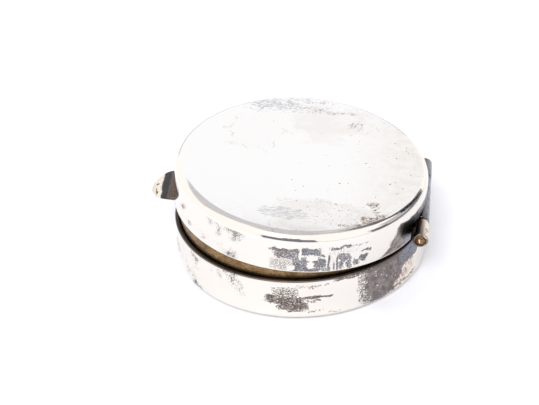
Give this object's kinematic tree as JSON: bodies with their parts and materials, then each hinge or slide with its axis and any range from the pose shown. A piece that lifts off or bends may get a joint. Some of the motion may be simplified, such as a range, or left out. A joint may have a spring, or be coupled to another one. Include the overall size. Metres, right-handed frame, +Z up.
{
  "type": "pill box",
  "caption": "Round silver pill box: drawn base and hinged lid, inner collar, straight tube hinge and curled half-moon thumb tab; lid slightly ajar.",
  "frame": {"origin": "centre of the base's flat underside, on the axis of the round base", "axes": "+Z up out of the base, +Y towards the hinge at the back, -Y towards the thumb tab at the front, +X along the hinge"},
  "size_m": [0.031, 0.0343, 0.0137],
  "materials": {
    "silver": "polished silver, worn, with patches of grey and brown tarnish on the walls",
    "worn_silver": "dull worn silver with a warm cast",
    "gilt_silver": "dull golden-brown, tarnished gilding",
    "brass_pin": "dull brass, dark around its edge"
  },
  "bodies": {
    "base": {"base_pan": "silver", "base_collar": "gilt_silver", "base_knuckle_left": "worn_silver", "base_knuckle_right": "worn_silver", "hinge_pin": "brass_pin"},
    "lid": {"lid_pan": "silver", "lid_hinge_bearer": "silver", "lid_knuckle": "worn_silver", "thumb_tab": "worn_silver"}
  },
  "joints": [
    {"name": "lid_hinge", "type": "hinge", "parent": "base", "child": "lid", "pos_m": [0, 0.01505, 0.00683], "axis": [-1, 0, 0], "range_deg": [-5.1, 115]}
  ]
}
